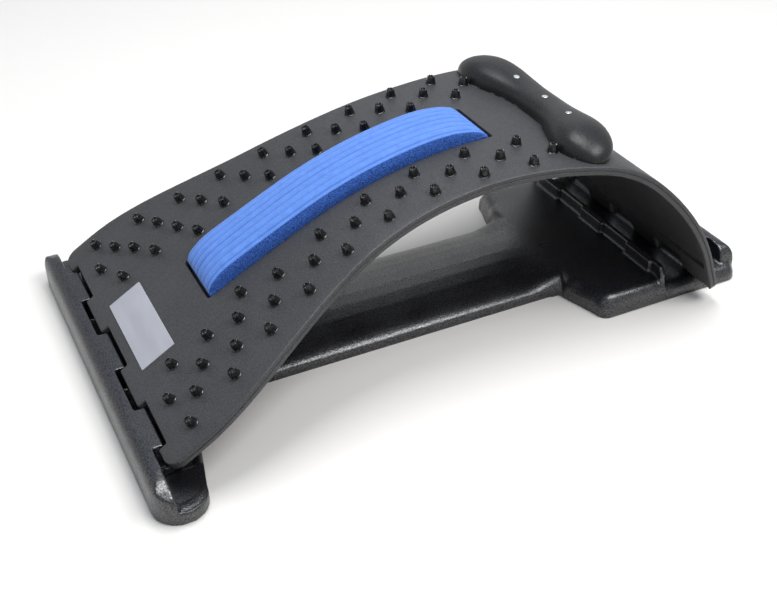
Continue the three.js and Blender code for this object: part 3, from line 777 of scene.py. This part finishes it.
def level_lobes(mesh):
    """Raise the trough's floor to the rim beyond the board's foot: each lobe gets a level top."""
    co = read_vectors(mesh, "co") / MM
    x, y, z = co.T
    faces_up = read_vectors(mesh, "normal")[:, 2] > LOBE_FACES_UP
    low = faces_up & (z > LOBE_FLOOR) & (z < LOBE_TOP) & (x + HALF_LENGTH > LIP_FOOT)
    share = np.where(low, np.clip((np.abs(y) - LOBE_FROM) / LOBE_RISE_RUN, 0, 1), 0)
    co[:, 2] += (LOBE_TOP - z) * share
    place_vertices(mesh, co)


def round_platform(mesh):
    """The platform's deck falls away in a wide round towards its edges."""
    co = read_vectors(mesh, "co") / MM
    z = co[:, 2]
    beyond = co[:, 0] + HALF_LENGTH - PLATFORM_INNER[0]
    outside = np.abs(co[:, 1]) - PLATFORM_INNER[1]
    slant_x = PLATFORM_CORNER[0] - PLATFORM_INNER[0]
    slant_y = PLATFORM_CORNER[1] - PLATFORM_INNER[1]
    to_front = (beyond * slant_y - outside * slant_x) / math.hypot(slant_x, slant_y)
    to_side = slant_y - outside
    blend_start, blend_run = FRONT_BLEND
    blend = np.clip((outside + blend_start) / blend_run, 0, 1)
    front = np.clip(1 - to_front / ROUND_OVER, 0, 1) * blend
    side = np.clip(1 - to_side / ROUND_OVER, 0, 1) * np.clip(beyond / SIDE_BLEND, 0, 1)
    full = np.clip(np.hypot(front, side), 0, 1)
    drop = ROUND_DROP * (1 - np.sqrt(1 - ROUND_SHARE * full ** 2))
    share = np.clip(z / DECK, 0, 1) * np.clip((DECK + DECK_ABOVE - z) / DECK_FADE, 0, 1)
    co[:, 2] -= np.where(beyond > -ROUND_FROM, drop * share, 0)
    place_vertices(mesh, co)


def make_base():
    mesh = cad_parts["base_shell"].data.copy()
    mesh.materials.clear()
    mesh.materials.append(MATS["base"])
    obj = linked_object("base", mesh)
    voxel_remesh(obj, BASE_VOXEL)
    soften = obj.modifiers.new("soften", "SMOOTH")
    soften.factor = SOFTEN_FACTOR
    soften.iterations = SOFTEN_ROUNDS
    apply_modifiers(obj)
    level_lobes(obj.data)
    round_platform(obj.data)
    obj.data.shade_smooth()
    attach(obj, "base")
    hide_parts("base_shell")


# Nubs
def nub_places(row, side):
    """Places of one row's nubs on one side, as (station, y), from its outer nub inward."""
    last = row - len(OUTER) + len(LAST_ROWS)
    if last >= 0:
        start, step = LAST_ROWS[last], LAST_COLUMN_PITCH
    else:
        start = FIRST_ROW - ROW_PITCH * row + ROW_PITCH_FALL * row * (row - 1) / 2
        step = COLUMN_PITCH - COLUMN_PITCH_FALL * row
    out = []
    for column, shares in enumerate((OUTER, MIDDLE, INNER, EXTRA)):
        if shares[row] is not None:
            station = start + step * column
            out.append((station, side * shares[row] * float(half_width(station))))
    return out


def nub_shape():
    """Points of one nub as (along, across, up), with ribs down its sides and teeth round its crown."""
    verts = []
    for k, (radius, lift) in enumerate(NUB_PROFILE):
        for i in range(TURN_STEPS):
            angle = 2 * math.pi * i / TURN_STEPS
            wave = math.cos(NUB_RIBS * angle)
            r = radius * (1 + NUB_RIB_SHARE * wave) if k in NUB_RIBBED else radius
            up = lift + NUB_TOOTH * max(wave, NUB_TOOTH_FLOOR) if k in NUB_TOOTHED else lift
            verts.append((r * math.cos(angle), r * math.sin(angle), up))
    return verts, turned_faces(len(NUB_PROFILE))


def make_runner(verts, faces, places):
    """The runner under the board's skin that joins a row's nubs."""
    stations = np.linspace(places[0][0], places[-1][0], RUNNER_POINTS)
    ys = np.interp(stations, *zip(*places))
    w = RUNNER_HALF
    for i in range(RUNNER_POINTS - 1):
        corners = []
        for lift in RUNNER_LIFTS:
            for k, dy in ((i, -w), (i + 1, -w), (i + 1, w), (i, w)):
                corners.append(tuple(bend(stations[k], ys[k] + dy, lift).tolist()))
        box_faces(verts, faces, corners)


def make_nubs():
    shape, shape_faces = nub_shape()
    for row in range(len(OUTER)):
        for side, side_name in ((-1, "near"), (1, "far")):
            places = nub_places(row, side)
            verts, faces = [], []
            for station, y in places:
                x, z, heading = [float(v) for v in along(station)]
                start = len(verts)
                c, s = math.cos(heading), math.sin(heading)
                for a, b, up in shape:
                    point = (x + a * c - up * s - HALF_LENGTH, y + b, z + a * s + up * c)
                    verts.append(tuple(v * MM for v in point))
                faces += [tuple(start + i for i in f) for f in shape_faces]
            make_runner(verts, faces, places)
            name = f"{side_name}_{row + 1}"
            obj = make_object("nubs_" + name, verts, faces, [MATS["nub"]], "board", 40)
            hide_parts("nub_strip_" + name)


# Hump
def hump_point(y, angle):
    """The hump's skin as (station, lift) at y. The angle runs from its right foot over its crest."""
    y = np.abs(np.asarray(y, float))
    blend = smooth(np.clip(y - HUMP_WAIST_HALF, 0, None) / HUMP_BLEND_RUN)
    reach = np.clip(y - (HUMP_HALF - HUMP_END_RUN), 0, None) / HUMP_END_RUN
    end = np.clip(1 - reach ** HUMP_END_POWER, 0, 1) ** (1 / HUMP_END_POWER)
    centre = HUMP_STATION + HUMP_BEND * (1 - blend)
    half, height = [(waist + gain * blend) * end for waist, gain in zip(HUMP_WAIST, HUMP_GAIN)]
    rise = np.clip(np.sin(angle), 0, 1)
    station = centre + half * np.cos(angle) + HUMP_LEAN * blend * end * rise
    lift = HUMP_FOOT + (height - HUMP_CREST_CUT) * rise ** HUMP_FULLNESS
    return station, lift


def make_hump():
    turn = np.linspace(-math.pi / 2, math.pi / 2, HUMP_ROWS)
    share = np.linspace(0, 1, HUMP_COLUMNS)
    angles = math.pi * (share - HUMP_EDGE_SHARE * np.sin(2 * math.pi * share))
    verts, lifts, faces = [], [], []
    for y in np.sin(turn) * HUMP_HALF * HUMP_ENDS_SHARE:
        station, lift = hump_point(y, angles)
        verts += bend(station, y + HUMP_SIDE, lift).tolist()
        lifts += list(lift)
    n = HUMP_COLUMNS
    for a in range(0, (HUMP_ROWS - 1) * n, n):
        for j in range(n - 1):
            faces.append((a + j, a + j + n, a + j + n + 1, a + j + 1))
        faces.append((a, a + n - 1, a + 2 * n - 1, a + n))
    faces.append(tuple(range(n)))
    faces.append(tuple(reversed(range((HUMP_ROWS - 1) * n, HUMP_ROWS * n))))
    obj = make_object("hump_cover", verts, faces, [MATS["hump"]], "board", 60)
    set_point_values(obj, "lift", lifts)
    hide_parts("hump")


# Magnets
def hump_skin(y, degrees):
    station, lift = hump_point(y, math.radians(degrees))
    return Vector(bend(station, y + HUMP_SIDE, lift).tolist())


def make_magnets():
    for name, k in (("magnet_far", 1), ("magnet_centre", 0), ("magnet_near", -1)):
        y = MAGNET_PITCH * k + MAGNET_SIDE
        place = hump_skin(y, MAGNET_ANGLE)
        across = (hump_skin(y + 1, MAGNET_ANGLE) - hump_skin(y - 1, MAGNET_ANGLE)).normalized()
        forward = (hump_skin(y, MAGNET_ANGLE - 1) - hump_skin(y, MAGNET_ANGLE + 1)).normalized()
        up = forward.cross(across).normalized()
        across = up.cross(forward)
        verts = []
        for r, h in MAGNET_PROFILE:
            for i in range(TURN_STEPS):
                a = 2 * math.pi * i / TURN_STEPS
                ring = forward * r * math.cos(a) + across * r * math.sin(a)
                verts.append(place + (ring + up * h) * MM)
        faces = turned_faces(len(MAGNET_PROFILE))
        obj = make_object(name + "_face", verts, faces, [MATS["magnet"]], "board", 30)
        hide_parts(name)


# Label
def make_label():
    flat = Flat()
    loop = split_sides(rectangle(*LABEL, LABEL_CORNER), LABEL_STEP)
    rings = [flat.ring(inset(loop, d), lift) for d, lift in LABEL_EDGE]
    for a, b in zip(rings, rings[1:]):
        flat.bridge(a, b)
    flat.fill(rings[-1], [], LABEL_EDGE[-1][1], True)
    flat.fill(rings[0], [], LABEL_EDGE[0][1], False)
    verts = flat.bent()
    obj = make_object("label_face", verts, flat.faces, [MATS["label"]], "board", 40)
    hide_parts("label_plate")


# Foam pad: a plain form is swelled as cloth, and the ribbed skin is then laid over it
def pad_top(station):
    """Height of the pad's edge above the board's face."""
    rise = np.clip((station - PAD_START) / PAD_RISE_RUN, 0, 1)
    fall = np.clip((PAD_END - station) / PAD_FALL_RUN, 0, 1)
    left = np.sqrt(np.clip(1 - (1 - rise) ** 2, 0, 1))
    return PAD_TOP * left * (1 - (1 - fall) ** PAD_FALL_POWER) ** PAD_FALL_ROUND


def pad_section(station, shrink):
    """Outline of the pad across its width, from the near bottom over the top to the far bottom."""
    top = float(pad_top(station)) - shrink
    full = min(max(top / PAD_TOP, 0), 1)
    low, wide = PAD_HALF_LOW - shrink, PAD_HALF_HIGH - shrink
    shoulder = max(top - PAD_SHOULDER * full, PAD_SHOULDER_LEAST)
    side = [(-low, PAD_BOTTOM)]
    for t in np.linspace(0, 1, PAD_SIDE_POINTS):
        y = low + (wide - low) * t + PAD_SIDE_BULGE * math.sin(math.pi * t)
        side.append((-y, PAD_SIDE_FROM + (shoulder - PAD_SIDE_FROM) * t))
    crest = []
    for t in np.linspace(-1, 1, PAD_CREST_POINTS)[1:-1]:
        crown = (PAD_SHOULDER + PAD_CROWN * (1 - t * t)) * full
        crest.append((wide * t, shoulder + crown * min((1 - abs(t)) * PAD_CREST_EDGE, 1)))
    return side + crest + [(-y, z) for y, z in reversed(side)]


def pad_grid(stations, shrink):
    """The pad in flat space: its points, its faces and the number of points in a section."""
    rows = [pad_section(s, shrink) for s in stations]
    verts = [(s, y, z) for s, row in zip(stations, rows) for y, z in row]
    n = len(rows[0])
    end = (len(stations) - 1) * n
    faces = []
    for a in range(0, end, n):
        for j in range(n):
            k = (j + 1) % n
            faces.append((a + j, a + n + j, a + n + k, a + k))
    faces.append(tuple(range(n)))
    faces.append(tuple(reversed(range(end, end + n))))
    return np.array(verts), faces, n


def pad_stations(step):
    inner = np.arange(PAD_START + PAD_END_RUN, PAD_END - PAD_END_RUN + 0.1, step)
    return [PAD_START + e for e in PAD_ENDS] + list(inner) + [PAD_END - e for e in reversed(PAD_ENDS)]


def swelled_form():
    """The pad's plain form after it has been blown up a little as cloth, in flat space."""
    verts, faces, _ = pad_grid(pad_stations(SWELL_STEP), SWELL_SHRINK)
    mesh = bpy.data.meshes.new("pad_form")
    mesh.from_pydata([tuple(v * MM) for v in verts], [], faces)
    obj = linked_object("pad_form", mesh)
    voxel_remesh(obj, SWELL_VOXEL)
    apply_modifiers(obj)
    rest = read_vectors(obj.data, "co")
    group = obj.vertex_groups.new(name="held")
    group.add(np.flatnonzero(rest[:, 2] < SWELL_HELD_BELOW * MM).tolist(), 1.0, "REPLACE")
    cloth = obj.modifiers.new("cloth", "CLOTH")
    cloth.settings.quality = SWELL_QUALITY
    cloth.settings.use_pressure = True
    cloth.settings.uniform_pressure_force = SWELL_PRESSURE
    cloth.settings.effector_weights.gravity = 0
    cloth.settings.tension_stiffness = SWELL_STIFFNESS
    cloth.settings.compression_stiffness = SWELL_STIFFNESS
    cloth.settings.vertex_group_mass = "held"
    cloth.point_cache.frame_start = 1
    cloth.point_cache.frame_end = SWELL_FRAMES
    for number in range(1, SWELL_FRAMES + 1):
        bpy.context.scene.frame_set(number)
    apply_modifiers(obj)
    bpy.context.scene.frame_set(1)
    step = read_vectors(obj.data, "co") - rest
    size = np.linalg.norm(step, axis=1)
    step *= np.minimum(1, SWELL_CAP * MM / np.maximum(size, 1e-9))[:, None]
    polys = [tuple(p.vertices) for p in obj.data.polygons]
    bpy.data.objects.remove(obj)
    return BVHTree.FromPolygons([tuple(v) for v in rest + step], polys)


def follow_cloth(verts):
    """Moves the pad's free points towards the swelled form."""
    tree = swelled_form()
    for i, v in enumerate(verts):
        if v[2] > SWELL_FREE_ABOVE:
            near = tree.find_nearest(Vector(v * MM), SWELL_REACH * MM)[0]
            if near is not None:
                shift = np.array(near) / MM - v
                verts[i] = v + np.clip(shift * SWELL_FOLLOW, *SWELL_LIMITS)


def make_pad():
    stations = pad_stations(PAD_STEP)
    verts, faces, n = pad_grid(stations, 0)
    follow_cloth(verts)
    first, end = PAD_SIDE_POINTS + 1, n - PAD_SIDE_POINTS - 1
    groove_shade = np.zeros(len(verts))
    for i, station in enumerate(stations):
        full = min(float(pad_top(station)) / RIDGE_FADE, 1)
        for j in range(first, end):
            t = (j - first + 1) / (end - first + 1)
            wave = abs(math.sin(math.pi * (t * RIDGES + 0.5)))
            verts[i * n + j][2] += full * (RIDGE_HEIGHT * wave ** RIDGE_ROUND - RIDGE_DROP)
            # Painted shade mask: strongest at the bottom of each groove, where shade falls
            groove_shade[i * n + j] = full * (1 - wave) ** GROOVE_SHADE_POWER
    section = [0 if first - 1 <= j < end else 1 for j in range(n)]
    index = section * (len(stations) - 1) + [1, 1]
    world = bend(verts[:, 0], verts[:, 1], verts[:, 2])
    mats = [MATS["pad_top"], MATS["pad_side"]]
    obj = make_object("ribbed_pad", world, faces, mats, "board", 50, index)
    set_point_values(obj, "groove_shade", groove_shade)
    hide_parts("foam_pad")


# Stage
def make_camera():
    a = math.radians(AZIMUTH)
    e = math.radians(ELEVATION)
    back = Vector((math.sin(a) * math.cos(e), -math.cos(a) * math.cos(e), math.sin(e)))
    right = Vector((math.cos(a), math.sin(a), 0))
    up = back.cross(right)
    data = bpy.data.cameras.new("camera")
    data.lens = LENS
    data.sensor_width = SENSOR
    data.clip_start = 0.01
    data.clip_end = 20
    cam = linked_object("camera", data)
    basis = Matrix((right, up, back)).transposed().to_4x4()
    basis.translation = AIM + back * DISTANCE
    cam.matrix_world = basis
    bpy.context.scene.camera = cam


def make_light(name, place, aim, size, power):
    data = bpy.data.lights.new(name, "AREA")
    data.shape = "RECTANGLE"
    data.size, data.size_y = size
    data.energy = power
    light = linked_object(name, data)
    light.location = Vector(place)
    light.rotation_mode = "QUATERNION"
    light.rotation_quaternion = (Vector(aim) - Vector(place)).to_track_quat("-Z", "Y")


def make_floor():
    mesh = bpy.data.meshes.new("floor")
    r = FLOOR_HALF
    mesh.from_pydata([(-r, -r, 0), (r, -r, 0), (r, r, 0), (-r, r, 0)], [], [(0, 1, 2, 3)])
    floor = linked_object("floor", mesh)
    mat, _, bsdf = new_material("floor")
    bsdf.inputs["Base Color"].default_value = FLOOR_COLOUR
    bsdf.inputs["Roughness"].default_value = FLOOR_ROUGHNESS
    mesh.materials.append(mat)


def make_sky():
    """A room that is brightest near the horizon and bluish overhead."""
    world = bpy.data.worlds.new("world")
    world.use_nodes = True
    tree = world.node_tree
    coord = tree.nodes.new("ShaderNodeTexCoord")
    parts = tree.nodes.new("ShaderNodeSeparateXYZ")
    tree.links.new(coord.outputs["Generated"], parts.inputs["Vector"])
    background = tree.nodes["Background"]
    tree.links.new(add_ramp(tree, parts.outputs["Z"], SKY), background.inputs["Color"])
    background.inputs["Strength"].default_value = SKY_STRENGTH
    bpy.context.scene.world = world
    bpy.context.scene.view_settings.view_transform = "Standard"


make_base()
make_board()
make_pad()
make_hump()
make_magnets()
make_label()
make_nubs()
make_camera()
make_floor()
make_sky()
for light in LIGHTS:
    make_light(*light)
